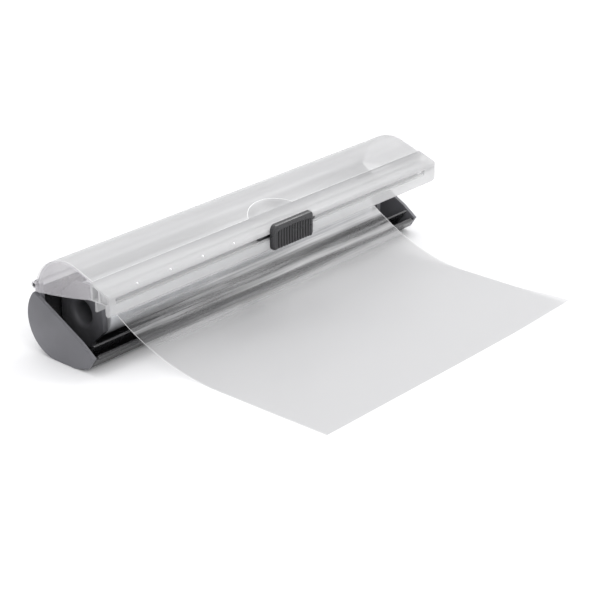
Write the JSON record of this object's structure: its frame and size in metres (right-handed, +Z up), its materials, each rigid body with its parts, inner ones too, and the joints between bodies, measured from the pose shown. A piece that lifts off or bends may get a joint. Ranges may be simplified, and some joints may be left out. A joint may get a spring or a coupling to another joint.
{
  "type": "cling film dispenser",
  "caption": "Tabletop dispenser for a roll of cling film: a trough with fixed end plates that carry the roll, and a hinged translucent lid whose front rail holds a sliding cutter.",
  "frame": {"origin": "on the resting surface, straight below the roll's axis and midway between the end caps", "axes": "+X along the roll, from the left end to the right end seen from the front; -Y towards the side the film is pulled to; +Z up"},
  "size_m": [0.372, 0.2506, 0.0808],
  "materials": {
    "tray_plastic": "satin moulded, near black",
    "cap_plastic": "fine moulded grain, mid grey",
    "foot_rubber": "matt",
    "pin_plastic": "satin",
    "plate_plastic": "satin moulded, dark grey",
    "film": "clear glossy stretch film",
    "film_wound": "milky, many layers of clear film",
    "core_board": "plain paper board",
    "lid_plastic": "frosted translucent moulded plastic",
    "rail_plastic": "frosted translucent moulded plastic, glossy edges",
    "knob_plastic": "satin, ribbed",
    "slider_plastic": "satin",
    "blade_steel": "ground edge"
  },
  "bodies": {
    "base": {"tray": "tray_plastic", "end_cap_left": "cap_plastic", "end_cap_right": "cap_plastic", "foot_front": "foot_rubber", "foot_rear": "foot_rubber", "hinge_pin_left": "pin_plastic", "hinge_pin_right": "pin_plastic", "roll_plate_left": "plate_plastic", "roll_plate_right": "plate_plastic", "film_sheet": "film"},
    "roll": {"core_tube": "core_board", "film_roll": "film_wound"},
    "lid": {"lid_shell": "lid_plastic", "lid_end_left": "lid_plastic", "lid_end_right": "lid_plastic", "cutter_rail": "rail_plastic", "rail_pips": "rail_plastic", "rail_stop_left": "rail_plastic", "rail_stop_right": "rail_plastic"},
    "slider": {"slider_knob": "knob_plastic", "slider_carriage": "slider_plastic", "blade_holder": "slider_plastic", "blade": "blade_steel", "blade_rivet": "blade_steel"}
  },
  "joints": [
    {"name": "lid_hinge", "type": "hinge", "parent": "base", "child": "lid", "pos_m": [0, 0.0199, 0.0542], "axis": [1, 0, 0], "range_deg": [-70, 36.5], "deforming": ["film_sheet"]},
    {"name": "roll_spin", "type": "hinge", "parent": "base", "child": "roll", "pos_m": [0, 0, 0.029], "axis": [1, 0, 0], "continuous": true},
    {"name": "cutter_slide", "type": "slide", "parent": "lid", "child": "slider", "axis": [1, 0, 0], "range_m": [-0.14, 0.14]}
  ]
}
